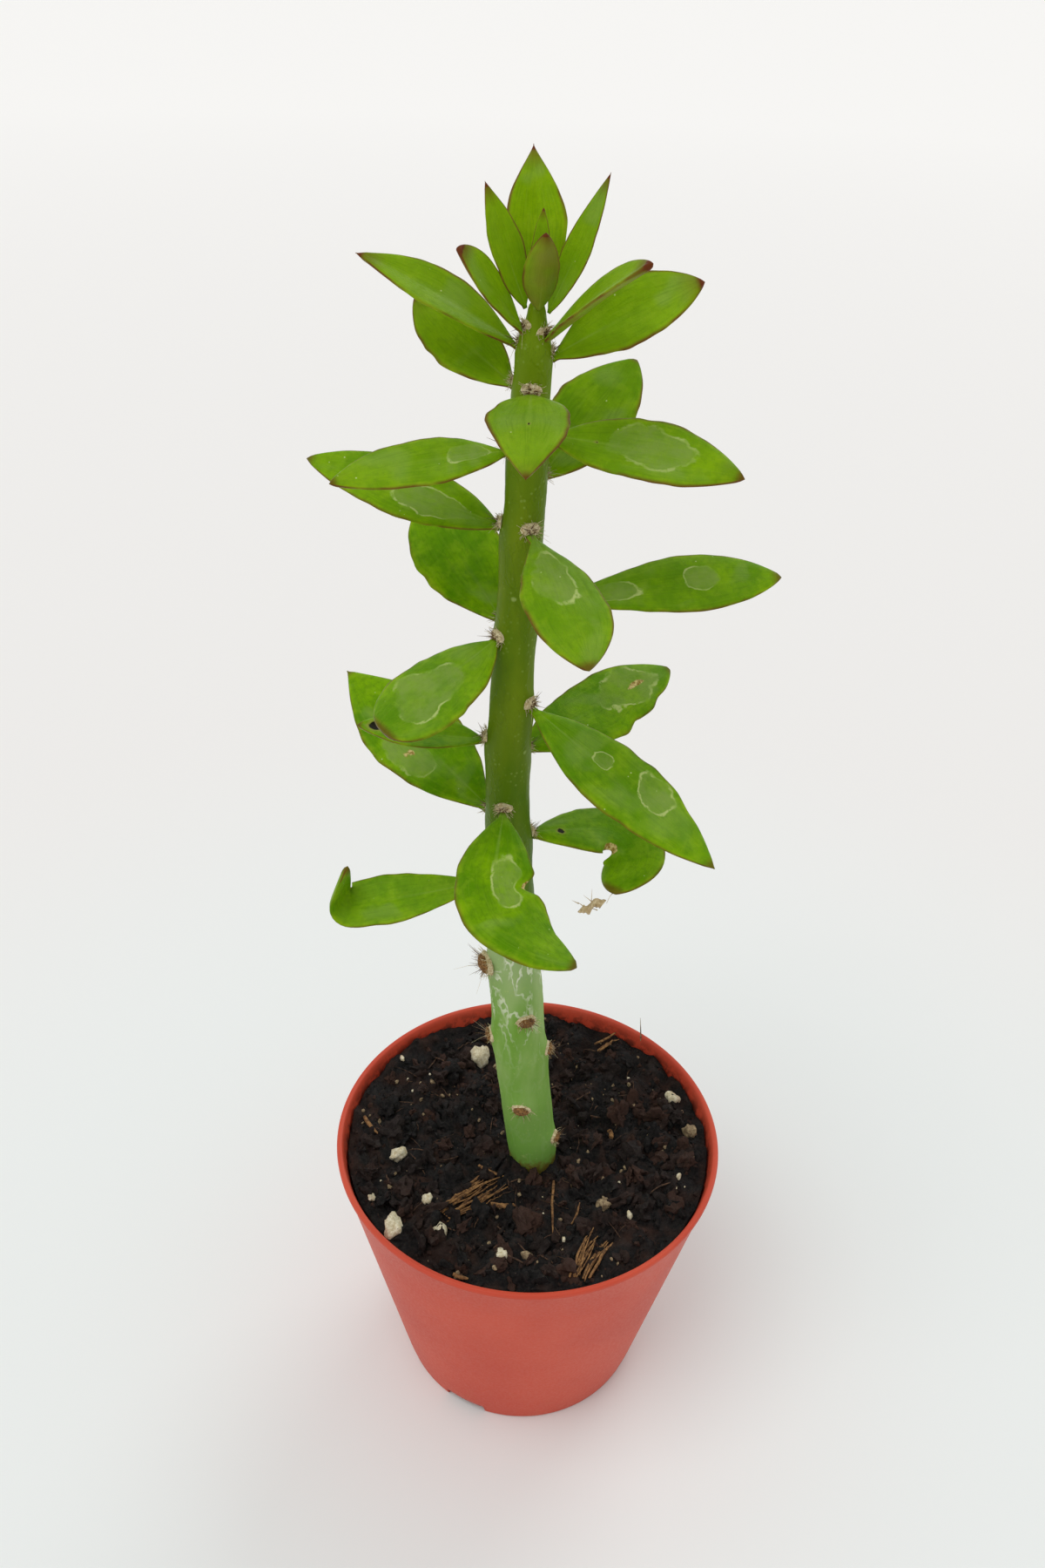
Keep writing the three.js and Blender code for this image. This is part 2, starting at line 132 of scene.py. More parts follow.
YOUNG_FROM = 8  # the leaves above this one are younger and younger, over the next YOUNG_SPAN leaves
YOUNG_SPAN = 12
FAR_FROM_MARKS = 9.0

# how the stem swells at an areole: reach below, above and to the side, and how far out
SWELL_BELOW = 3.2
SWELL_ABOVE = 1.7
SWELL_ASIDE = 2.1
SWELL_BARE = 0.42
SWELL_LEAFY = 0.3
OLD_SKIN = 0.1
OLD_LEDGE = 0.3
OLD_LEDGE_REACH = 0.8
SHOULDER = 156.6

# areoles on the bare old stem: height, azimuth, size
BARE_AREOLES = [
    (75.5, -160, 1.7),
    (67.8, -70, 1.2),
    (62.8, -172, 1.2),
    (60.5, -8, 1.1),
    (52, -97, 1.2),
    (44.5, -20, 1.1),
    (57, 95, 1.1),
    (71, 60, 1.2),
]

CORKY_BELOW = 65
# what grows on each kind of areole: hairs in the wool, hairs in the heart, size of the heart, spines
AREOLE_GROWTH = dict(leafy=(70, 36, 0.42, 5), bare=(70, 36, 0.8, 9), corky=(20, 10, 0.8, 3))
AREOLE_SIZE = 0.95
YOUNG_AREOLE_SIZE = 0.75
YOUNG_AREOLES_FROM = 149
AREOLES_END = 155

RIM_HEIGHT = 0.9
RIM_OVERHANG = 0.15
POT_HEIGHT = round(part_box("pot")[1].z / MM, 2)
POT_TOP_RADIUS = round(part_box("pot")[1].x / MM - RIM_OVERHANG, 2)
POT_BASE_RADIUS = 18.2
POT_WALL = 0.7
POT_FLOOR = 1.5
BASE_ROUND = 0.5
LIP_ROUND = 0.25
NOTCH_SIZE = (5.6, 6.2, 3.6)
NOTCH_REACH = 17.4
NOTCH_ROUND = 0.4
NOTCH_COUNT = 3
NOTCH_FIRST_ANGLE = -116

SOIL_TOP = 39.3
SOIL_BANK = 0.8
SOIL_BANK_RADIUS = 25
SOIL_SKIRT = (34.0, 36.5)
SOIL_EDGE = 39
WALL_BAND = (20, 5)
STEM_SPOT = (0.9, -2)
STEM_ROOM = 4.0

# loose soil: piece, count, smallest and largest radius, fineness, then the share of brown in a lump
CRUMB_KINDS = (
    ("soil_dust", 1500, 0.1, 0.26, 1),
    ("soil_crumbs", 1100, 0.25, 0.55, 1),
    ("soil_clods", 300, 0.6, 1.8, 3),
)
CRUMB_TINTS = (0.0, 0.0, 0.1, 0.25, 0.5)

# the larger grains: X, Y, radius
PERLITE = [
    (-17.7, -16.3, 1.75),
    (-11.6, -16.5, 1.25),
    (-18.3, -3.7, 1.2),
    (-7.7, 16.8, 1.8),
    (21.7, 8.8, 1.15),
    (23.7, 2.4, 1.2),
    (10.7, -11.2, 1.1),
    (-3.2, -19.9, 1.0),
    (-13.7, -11.5, 0.9),
    (-21.3, -11.4, 0.65),
]
DULL_GRAINS = (6, 7)
# smaller grains: X, Y, radius, whether bright
SMALL_GRAINS = [
    (0.1, -19.6, 0.95, False),
    (5.1, -17, 0.42, True),
    (3.6, 18.6, 0.95, False),
    (-5.2, 14.2, 0.7, False),
    (-19.6, 15, 0.55, True),
    (-16.4, 13.4, 0.5, False),
    (-14.6, 11, 0.55, False),
    (14.2, -12.6, 0.6, True),
    (21.4, -6.2, 0.55, True),
    (0.4, -14, 0.5, True),
    (-8.8, -22.4, 0.8, False),
    (15.4, 13.2, 0.45, True),
]
# bundles of bark fibre: X, Y, direction, length, strands
FIBRES = [
    (-7.2, -10.2, 43, 10.2, 26),
    (3.2, -11.2, -97, 11.2, 1),
    (8.6, -19.2, 68, 8.4, 14),
    (12.5, 19.5, 28, 4.2, 3),
]
# single loose strands on the soil: X, Y, direction, length, radius
LOOSE_STRANDS = [
    (-6.9, -4.2, -32, 4.6, 0.2),
    (-4.9, -11.6, 8, 3.6, 0.32),
    (12, 2.9, -80, 1.7, 0.32),
    (-24, 3, -55, 4.2, 0.24),
    (-9.4, -22.6, -25, 2.2, 0.26),
    (10.3, 20.2, 28, 3.8, 0.18),
    (6.2, -14.4, 70, 3.2, 0.12),
]
BUNDLE_SPREAD = 1.3
SMALL_FIBRES = 90
SCRAP_CENTRE = (6.2, -9.6, 91.2)
SLIVER_FOOT = (17.6, 19.6, 40.4)
SLIVER_TIP = (17.2, 20.9, 45.1)

TABLE_REACH = 30
SKY = (0.97, 0.965, 0.955, 1)
HORIZON_STRENGTH = 0.93
ZENITH_STRENGTH = 0.63
FADE_TOP = 0.3

# metres, then degrees, then millimetres
CAMERA_SPOT = (-0.0024, -0.1303, 0.187)
CAMERA_PITCH = 33.2
CAMERA_ROLL = 1.85
CAMERA_LENS = 30
CAMERA_SENSOR = 36


def stem_at(height, column):
    k = 1
    while k < len(STEM_STOPS) - 1 and STEM_STOPS[k][0] < height:
        k += 1
    low, high = STEM_STOPS[k - 1], STEM_STOPS[k]
    share = min(1, max(0, (height - low[0]) / (high[0] - low[0])))
    return low[column] + share * (high[column] - low[column])


def stem_smooth(height, column):
    """The stem's stops, rounded off over a few millimetres of height."""
    offsets = (-4, -2, 0, 2, 4)
    reach = min(1, max(0.1, (height - 38) / 8), max(0.1, (158 - height) / 8))
    return sum(stem_at(height + d * reach, column) for d in offsets) / len(offsets)


def stem_centre(height):
    return Vector((stem_at(height, 1), stem_at(height, 2), height))


def heading(azimuth, rise):
    level = math.cos(math.radians(rise))
    turn = math.radians(azimuth)
    return Vector((level * math.cos(turn), level * math.sin(turn), math.sin(math.radians(rise))))


def stem_surface(height, azimuth, gap=0.0):
    return stem_centre(height) + heading(azimuth, 0) * (stem_at(height, 3) + gap)


def soil_height(x, y):
    swell = 0.45 * math.sin(0.31 * x + 1.3) * math.cos(0.27 * y + 0.4)
    clods = 0.35 * math.sin(0.83 * x - 0.52 * y) + 0.25 * math.cos(0.61 * x + 0.97 * y)
    bank = SOIL_BANK * (math.hypot(x, y) / SOIL_BANK_RADIUS) ** 4
    return SOIL_TOP + swell + clods + bank


# ---------------------------------------------------------------- mesh helpers


def link(thing):
    bpy.context.scene.collection.objects.link(thing)
    return thing


def add_mesh(name, points, faces, material, slot, nodes=(), smooth=True, attributes=None):
    """points in millimetres; attributes: name -> list of one float or 3-vector a point."""
    mesh = bpy.data.meshes.new(name)
    mesh.from_pydata([Vector(p) * MM for p in points], [], faces)
    mesh.validate()
    for key, values in (attributes or {}).items():
        kind = "FLOAT" if not hasattr(values[0], "__len__") else "FLOAT_VECTOR"
        layer = mesh.attributes.new(key, kind, "POINT")
        for k, value in enumerate(values):
            if kind == "FLOAT":
                layer.data[k].value = value
            else:
                layer.data[k].vector = value
    mesh.shade_smooth() if smooth else mesh.shade_flat()
    mesh.materials.append(material)
    piece = link(bpy.data.objects.new(name, mesh))
    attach(piece, "root")
    if nodes:
        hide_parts(*nodes)
    return piece


def skin(sides, rows, faces, base=0):
    """Faces of a capped tube through rows of points, already laid out one after another from base."""
    for r in range(rows - 1):
        for k in range(sides):
            a = base + r * sides + k
            b = base + r * sides + (k + 1) % sides
            faces.append((a, b, b + sides, a + sides))
    faces.append(tuple(base + k for k in reversed(range(sides))))
    faces.append(tuple(base + (rows - 1) * sides + k for k in range(sides)))


def cone(points, faces, root, tip, radius, sides=5, bow=None, steps=4, blunt=0.12):
    """A slender spine or hair from root to tip, optionally bowed sideways."""
    along = (tip - root).normalized()
    side = along.orthogonal().normalized()
    up = along.cross(side)
    base = len(points)
    for r in range(steps + 1):
        s = r / steps
        centre = root.lerp(tip, s)
        if bow:
            centre = centre + bow * math.sin(math.pi * s * 0.5) * s
        width = radius * (1 - (1 - blunt) * s)
        for k in range(sides):
            turn = 2 * math.pi * k / sides
            points.append(centre + side * (width * math.cos(turn)) + up * (width * math.sin(turn)))
    skin(sides, steps + 1, faces, base)


# ---------------------------------------------------------------- node helpers


class Nodes:
    """Short calls for building one material's node tree."""

    def __init__(self, name):
        self.material = bpy.data.materials.new(name)
        self.material.use_nodes = True
        self.tree = self.material.node_tree
        self.shader = self.tree.nodes["Principled BSDF"]

    def new(self, kind, **settings):
        node = self.tree.nodes.new(kind)
        for key, value in settings.items():
            setattr(node, key, value)
        return node

    def put(self, socket, value):
        if isinstance(value, bpy.types.NodeSocket):
            self.tree.links.new(value, socket)
        else:
            socket.default_value = value

    def coords(self, scale=(1, 1, 1)):
        mapping = self.new("ShaderNodeMapping")
        mapping.inputs["Scale"].default_value = scale
        self.put(mapping.inputs["Vector"], self.new("ShaderNodeTexCoord").outputs["Object"])
        return mapping.outputs["Vector"]

    def attribute(self, name):
        return self.new("ShaderNodeAttribute", attribute_name=name).outputs["Fac"]

    def noise(self, scale, detail=3.0, rough=0.55, vector=None, distortion=0.0, output="Fac"):
        node = self.new("ShaderNodeTexNoise")
        self.put(node.inputs["Vector"], self.coords() if vector is None else vector)
        node.inputs["Scale"].default_value = scale
        node.inputs["Detail"].default_value = detail
        node.inputs["Roughness"].default_value = rough
        node.inputs["Distortion"].default_value = distortion
        return node.outputs[output]

    def cells(self, scale, vector=None, feature="F1"):
        node = self.new("ShaderNodeTexVoronoi", feature=feature)
        self.put(node.inputs["Vector"], self.coords() if vector is None else vector)
        node.inputs["Scale"].default_value = scale
        return node.outputs["Distance"]

    def math(self, operation, a, b=0.0, clamp=False):
        node = self.new("ShaderNodeMath", operation=operation, use_clamp=clamp)
        self.put(node.inputs[0], a)
        self.put(node.inputs[1], b)
        return node.outputs[0]

    def times(self, a, b, clamp=False):
        return self.math("MULTIPLY", a, b, clamp)

    def plus(self, a, b):
        return self.math("ADD", a, b)

    def minus(self, a, b):
        return self.math("SUBTRACT", a, b)

    def ramp(self, value, low, high, start=0.0, end=1.0, smooth=True):
        node = self.new("ShaderNodeMapRange", clamp=True)
        node.interpolation_type = "SMOOTHSTEP" if smooth else "LINEAR"
        self.put(node.inputs["Value"], value)
        node.inputs["From Min"].default_value = low
        node.inputs["From Max"].default_value = high
        node.inputs["To Min"].default_value = start
        node.inputs["To Max"].default_value = end
        return node.outputs["Result"]

    def mix(self, share, a, b):
        node = self.new("ShaderNodeMix", data_type="RGBA")
        self.put(node.inputs["Factor"], share)
        self.put(node.inputs[6], a)
        self.put(node.inputs[7], b)
        return node.outputs[2]

    def lay(self, below, above, where, most):
        """One colour laid over another, most opaque where the mask is 1."""
        return self.mix(self.times(where, most), below, above)

    def split(self, vector):
        node = self.new("ShaderNodeSeparateXYZ")
        self.put(node.inputs[0], vector)
        return node.outputs

    def join(self, x, y, z):
        node = self.new("ShaderNodeCombineXYZ")
        for socket, value in zip(node.inputs, (x, y, z)):
            self.put(socket, value)
        return node.outputs[0]

    def bump(self, height, strength, distance):
        node = self.new("ShaderNodeBump")
        node.inputs["Strength"].default_value = strength
        node.inputs["Distance"].default_value = distance
        self.put(node.inputs["Height"], height)
        return node.outputs["Normal"]

    def finish(self, colour, roughness, normal=None, **sockets):
        self.put(self.shader.inputs["Base Color"], colour)
        self.put(self.shader.inputs["Roughness"], roughness)
        if normal is not None:
            self.put(self.shader.inputs["Normal"], normal)
        for key, value in sockets.items():
            self.put(self.shader.inputs[key.replace("_", " ")], value)
        return self.material


def srgb(r, g, b):
    """A colour given as 0 to 255 screen values, as linear light."""

    def one(v):
        v /= 255
        return v / 12.92 if v <= 0.04045 else ((v + 0.055) / 1.055) ** 2.4

    return (one(r), one(g), one(b), 1.0)


# ---------------------------------------------------------------- materials


def leaf_material():
    n = Nodes("leaf_skin")
    across = n.attribute("across")  # 0 at the midrib, 1 at the margin
    along = n.attribute("along")  # 0 at the stalk, 1 at the tip
    young = n.attribute("young")
    under = n.attribute("under")  # 1 on the lower face

    broad = n.noise(210, 3, 0.55)
    fine = n.noise(1500, 4, 0.6)
    grain = n.cells(5200)
    green = n.mix(n.ramp(broad, 0.35, 0.68), srgb(88, 140, 0), srgb(124, 170, 0))
    green = n.mix(n.ramp(fine, 0.4, 0.72, 0, 0.5), green, srgb(74, 122, 0))
    blotches = n.ramp(n.noise(560, 3, 0.6, distortion=0.4), 0.5, 0.64)
    green = n.lay(green, srgb(142, 178, 30), blotches, 0.3)
    green = n.lay(green, srgb(138, 172, 0), young, 0.5)
    green = n.lay(green, srgb(118, 150, 30), under, 0.5)

    # painted sheen: soft greyish patches of reflected light
    sheen_patches = n.ramp(n.noise(150, 2, 0.5, distortion=0.6), 0.52, 0.66)
    sheen_patches = n.times(sheen_patches, n.ramp(across, 0.95, 0.55))
    green = n.lay(green, srgb(132, 162, 78), sheen_patches, 0.4)
    # painted sheen: a greyish film over the leaf face, as strong as each leaf's own share of it
    leaf_sheen = n.times(n.attribute("dull"), n.ramp(across, 1.0, 0.75, 0.35, 1.0))
    leaf_sheen = n.times(leaf_sheen, n.ramp(n.noise(240, 4, 0.6), 0.3, 0.62, 0.45, 1.0))
    green = n.lay(green, srgb(120, 154, 40), leaf_sheen, 0.5)

    # faint lengthwise streaks
    z = n.split(n.new("ShaderNodeTexCoord").outputs["Object"])["Z"]
    drawn = n.join(n.times(along, 5.0), n.times(across, 13.0), n.times(z, 60.0))
    streak = n.ramp(n.noise(1.0, 4, 0.6, drawn), 0.5, 0.68)
    green = n.lay(green, srgb(142, 176, 50), streak, 0.16)
    dusk = n.ramp(n.noise(1.3, 3, 0.55, drawn), 0.5, 0.34)
    green = n.lay(green, srgb(62, 108, 0), dusk, 0.2)

    # faint lighter midrib towards the stalk
    rib = n.times(n.ramp(across, 0.09, 0.0), n.ramp(along, 0.6, 0.05))
    green = n.lay(green, srgb(164, 190, 96), rib, 0.22)

    # pale yellow-green towards the margin, then the thin dark red edge
    pale = n.times(n.ramp(across, 0.8, 0.97), n.ramp(n.noise(420, 2), 0.35, 0.65))
    green = n.lay(green, srgb(160, 186, 30), pale, 0.4)
    edge = n.plus(across, n.times(young, 0.06))
    red = n.times(n.ramp(edge, 0.9, 1.03), n.ramp(n.noise(300, 2), 0.3, 0.55, 0.2, 1))
    colour = n.lay(green, srgb(104, 56, 32), red, 0.9)
    flush = n.times(n.times(under, young), n.ramp(n.noise(180, 2), 0.4, 0.6, 0.1, 0.5))
    colour = n.mix(flush, colour, srgb(134, 100, 50))
    ripe = n.math("POWER", young, 3)
    tip = n.plus(n.ramp(along, 0.94, 0.99), n.times(ripe, n.ramp(along, 0.8, 0.98)))
    colour = n.mix(n.times(tip, 0.7, clamp=True), colour, srgb(100, 48, 24))

    # healed wounds: a pale wavering outline round a greyer patch
    wobble = n.minus(n.noise(520, 3, 0.6), 0.5)
    sway = n.minus(n.noise(270, 2, 0.5), 0.5)
    wavy = n.plus(n.attribute("ring_reach"), n.times(wobble, 0.45))
    wavy = n.plus(wavy, n.times(sway, 1.1))
    outline = n.times(n.ramp(wavy, 0.91, 0.98), n.ramp(wavy, 1.09, 1.01))
    outline = n.times(outline, n.ramp(n.noise(1100, 3, 0.7), 0.3, 0.5))
    outline = n.times(outline, n.ramp(n.noise(190, 2), 0.4, 0.6, 0.1, 1))
    inside = n.ramp(wavy, 1.0, 0.9)
    patch = n.times(inside, n.ramp(n.noise(460, 4, 0.65), 0.35, 0.65, 0.25, 0.65))
    colour = n.mix(patch, colour, srgb(132, 158, 76))
    colour = n.lay(colour, srgb(190, 206, 126), outline, 0.8)

    # dry tan scars, and small black pits
    scar = n.plus(n.attribute("scar_reach"), n.times(wobble, 1.6))
    scarred = n.ramp(scar, 1.05, 0.8)
    crust = n.mix(n.ramp(n.noise(2500, 2), 0.35, 0.65), srgb(140, 112, 44), srgb(214, 196, 132))
    colour = n.mix(scarred, colour, crust)
    pit = n.plus(n.attribute("dot_reach"), n.times(wobble, 1.5))
    colour = n.mix(n.ramp(pit, 1.7, 1.1, 0, 0.6), colour, srgb(150, 150, 70))
    pitted = n.ramp(pit, 1.1, 0.85)
    colour = n.mix(pitted, colour, srgb(22, 18, 12))

    # tiny pale flecks
    flecks = n.times(n.ramp(n.cells(900), 0.1, 0.05), n.ramp(n.noise(700, 1), 0.57, 0.63))
    colour = n.lay(colour, srgb(206, 220, 150), flecks, 0.8)

    rough = n.ramp(fine, 0.3, 0.75, 0.34, 0.5)
    rough = n.plus(rough, n.times(n.plus(inside, scarred), 0.12))
    relief = n.plus(n.times(grain, 0.35), n.times(fine, 0.6))
    relief = n.plus(relief, n.times(outline, 0.8))
    relief = n.minus(relief, n.times(n.plus(scarred, pitted), 0.9))
    normal = n.bump(relief, 0.4, 0.00012)
    return n.finish(
        colour,
        rough,
        normal,
        Subsurface_Weight=0.12,
        Subsurface_Radius=(0.35, 0.8, 0.05),
        Subsurface_Scale=0.0009,
        Specular_IOR_Level=0.1,
        Specular_Tint=(0.75, 0.9, 0.35, 1),
    )


def stem_material():
    n = Nodes("stem_skin")
    height = n.attribute("height")
    stretched = n.coords((1, 1, 0.3))
    mottled = n.noise(240, 3, 0.55, stretched)
    fine = n.noise(1700, 4, 0.62)

    fresh = n.mix(n.ramp(mottled, 0.35, 0.7), srgb(84, 112, 0), srgb(108, 130, 8))
    fresh = n.mix(n.ramp(height, 88, 124, 0.55, 0), fresh, srgb(60, 98, 2))
    fresh = n.mix(n.ramp(height, 128, 156, 0, 0.6), fresh, srgb(116, 144, 10))
    old = n.mix(n.ramp(mottled, 0.32, 0.7), srgb(112, 156, 58), srgb(148, 178, 104))
    old = n.mix(n.ramp(height, 62, 42, 0, 0.8), old, srgb(112, 164, 66))
    old = n.mix(n.ramp(height, 66, 80, 0, 0.6), old, srgb(164, 182, 136))

    # silvery flaking skin on the old wood: ragged outlines of thin plates
    upright = n.coords((1, 1, 0.45))
    push = n.new("ShaderNodeVectorMath", operation="SCALE")
    n.put(push.inputs[0], n.noise(420, 3, 0.65, upright, output="Color"))
    push.inputs["Scale"].default_value = 0.0034
    pushed = n.new("ShaderNodeVectorMath", operation="ADD")
    n.put(pushed.inputs[0], upright)
    n.put(pushed.inputs[1], push.outputs[0])
    plates = n.cells(420, pushed.outputs[0], "DISTANCE_TO_EDGE")
    warped = n.plus(plates, n.times(n.minus(n.noise(1300, 3), 0.5), 0.16))
    cracks = n.times(n.ramp(warped, 0.07, 0.02), n.ramp(n.noise(260, 3, 0.6, upright), 0.42, 0.54))
    cracks = n.times(cracks, n.ramp(height, 58, 75, 0.05, 1.0))
    speckle = n.times(n.ramp(n.cells(1500), 0.16, 0.08), n.ramp(fine, 0.5, 0.62))
    old = n.lay(old, srgb(212, 220, 190), cracks, 0.95)
    old = n.lay(old, srgb(182, 200, 150), speckle, 0.5)
    joint = n.ramp(n.plus(height, n.times(n.minus(fine, 0.5), 6)), 78.5, 80.5)
    colour = n.mix(joint, old, fresh)

    # small pale scars and dots on the skin
    scars = n.times(n.ramp(n.cells(310), 0.14, 0.07), n.ramp(n.noise(410, 1), 0.54, 0.6))
    colour = n.lay(colour, srgb(170, 190, 110), scars, 0.5)
    dots = n.times(n.ramp(n.cells(1500), 0.3, 0.12), n.ramp(n.noise(300, 2), 0.4, 0.6, 0.15, 1))
    colour = n.lay(colour, srgb(158, 182, 92), dots, 0.3)

    # brown corky foot at the soil
    foot = n.ramp(n.plus(height, n.times(n.minus(fine, 0.5), 5)), 42, 39.5)
    colour = n.lay(colour, srgb(112, 84, 30), foot, 0.85)

    rough = n.mix(joint, (0.62, 0.62, 0.62, 1), (0.46, 0.46, 0.46, 1))
    relief = n.plus(n.times(fine, 0.5), n.times(cracks, 1.2))
    relief = n.plus(relief, n.times(mottled, 0.5))
    normal = n.bump(relief, 0.4, 0.00016)
    return n.finish(
        colour,
        rough,
        normal,
        Subsurface_Weight=0.1,
        Subsurface_Radius=(0.3, 0.7, 0.1),
        Subsurface_Scale=0.0008,
        Specular_IOR_Level=0.15,
        Specular_Tint=(0.8, 0.9, 0.6, 1),
    )


def pot_material():
    n = Nodes("pot_plastic")
    height = n.attribute("height")
    broad = n.noise(60, 3, 0.5)
    fine = n.noise(2600, 3, 0.6)
    colour = n.mix(n.ramp(broad, 0.35, 0.68), srgb(197, 70, 46), srgb(205, 79, 54))
    dust = n.times(n.ramp(n.noise(420, 5, 0.7), 0.55, 0.75), n.ramp(height, 14, 0, 0.25, 0.9))
    colour = n.lay(colour, srgb(198, 150, 126), dust, 0.25)
    soil_marks = n.times(n.attribute("inside"), n.ramp(n.noise(500, 5, 0.7), 0.42, 0.6))
    soil_marks = n.times(soil_marks, n.ramp(height, 42.2, 39.2))
    colour = n.lay(colour, srgb(44, 27, 20), soil_marks, 0.9)
    streaks = n.noise(900, 3, 0.6, n.coords((1, 1, 0.12)))
    rough = n.ramp(fine, 0.3, 0.7, 0.42, 0.54)
    rough = n.plus(rough, n.times(dust, 0.2))
    relief = n.plus(n.times(fine, 0.5), n.times(streaks, 0.35))
    normal = n.bump(relief, 0.12, 0.00008)
    return n.finish(
        colour,
        rough,
        normal,
        Subsurface_Weight=0.06,
        Subsurface_Radius=(0.9, 0.25, 0.12),
        Subsurface_Scale=0.0015,
        Specular_IOR_Level=0.3,
    )


def soil_material():
    n = Nodes("potting_mix")
    tint = n.attribute("tint")
    fine = n.noise(2200, 5, 0.7)
    patches = n.noise(190, 4, 0.6)
    colour = n.mix(n.ramp(fine, 0.35, 0.7), srgb(9, 9, 10), srgb(38, 34, 32))
    colour = n.mix(n.ramp(patches, 0.5, 0.66, 0, 0.6), colour, srgb(50, 31, 24))
    colour = n.lay(colour, srgb(84, 56, 44), tint, 0.9)
    sparks = n.times(n.ramp(n.cells(1600), 0.12, 0.06), n.ramp(n.noise(800, 1), 0.55, 0.62))
    colour = n.lay(colour, srgb(120, 100, 84), sparks, 0.8)
    damp = n.ramp(n.noise(300, 3), 0.4, 0.65)
    rough = n.ramp(damp, 0.0, 1.0, 0.95, 0.6)
    relief = n.plus(fine, n.times(n.noise(5200, 3, 0.7), 0.4))
    normal = n.bump(relief, 0.8, 0.0004)
    return n.finish(colour, rough, normal, Specular_IOR_Level=0.25)


def speckled_material(name, dark, light, fleck, scale, rough=(0.75, 0.95)):
    """Chalky, woody or woolly matter: two colours in fine noise, with darker flecks."""
    n = Nodes(name)
    fine = n.noise(scale, 4, 0.65)
    colour = n.mix(n.ramp(fine, 0.33, 0.7), srgb(*dark), srgb(*light))
    specks = n.ramp(n.cells(scale * 0.6), 0.2, 0.08)
    marks = n.times(specks, n.ramp(n.noise(scale * 0.4, 2), 0.5, 0.6))
    colour = n.lay(colour, srgb(*fleck), marks, 0.7)
    normal = n.bump(n.plus(fine, n.noise(scale * 3, 2, 0.6)), 0.6, 0.0002)
    return n.finish(colour, n.ramp(fine, 0.3, 0.7, rough[1], rough[0]), normal)


def floor_material():
    n = Nodes("pale_table")
    place = n.split(n.new("ShaderNodeTexCoord").outputs["Object"])
    squares = [n.times(place[axis], place[axis]) for axis in ("X", "Y")]
    away = n.math("SQRT", n.plus(*squares))
    # painted light falloff: the table is darker near the pot and brightens with distance, and near the pot a
    # cool tint offsets the pot's pink bounce light
    colour = n.mix(n.ramp(away, 0.06, 0.2), (0.86, 0.9, 0.89, 1), (0.88, 0.872, 0.858, 1))
    colour = n.mix(n.ramp(away, 0.2, 1.6, smooth=False), colour, (0.97, 0.965, 0.95, 1))
    return n.finish(colour, 0.9, Specular_IOR_Level=0.1)


LEAF = leaf_material()
STEM = stem_material()
POT = pot_material()
SOIL = soil_material()
GRAIN = speckled_material("perlite_grain", (196, 180, 142), (238, 230, 204), (120, 98, 66), 2400)
DULL = speckled_material("dusty_grain", (104, 84, 60), (176, 154, 118), (60, 44, 32), 2400)
BARK = speckled_material("bark_fibre", (84, 54, 28), (164, 120, 70), (46, 30, 18), 1800)
DARK_BARK = speckled_material("dark_fibre", (38, 26, 20), (96, 66, 42), (20, 14, 12), 1800)
SCRAP = speckled_material("dry_skin", (176, 150, 108), (220, 200, 160), (120, 88, 52), 1600)
WOOL = speckled_material("areole_wool", (190, 168, 118), (242, 230, 194), (140, 108, 62), 3600)
BROWN = speckled_material("areole_heart", (96, 62, 28), (166, 122, 66), (50, 32, 18), 3600)
SPINE = speckled_material("areole_spine", (74, 50, 34), (150, 118, 84), (40, 26, 20), 3000, (0.4, 0.6))


# ---------------------------------------------------------------- leaves


LEAF_DATA = ("across", "along", "under", "young", "dull", "ring_reach", "scar_reach", "dot_reach")


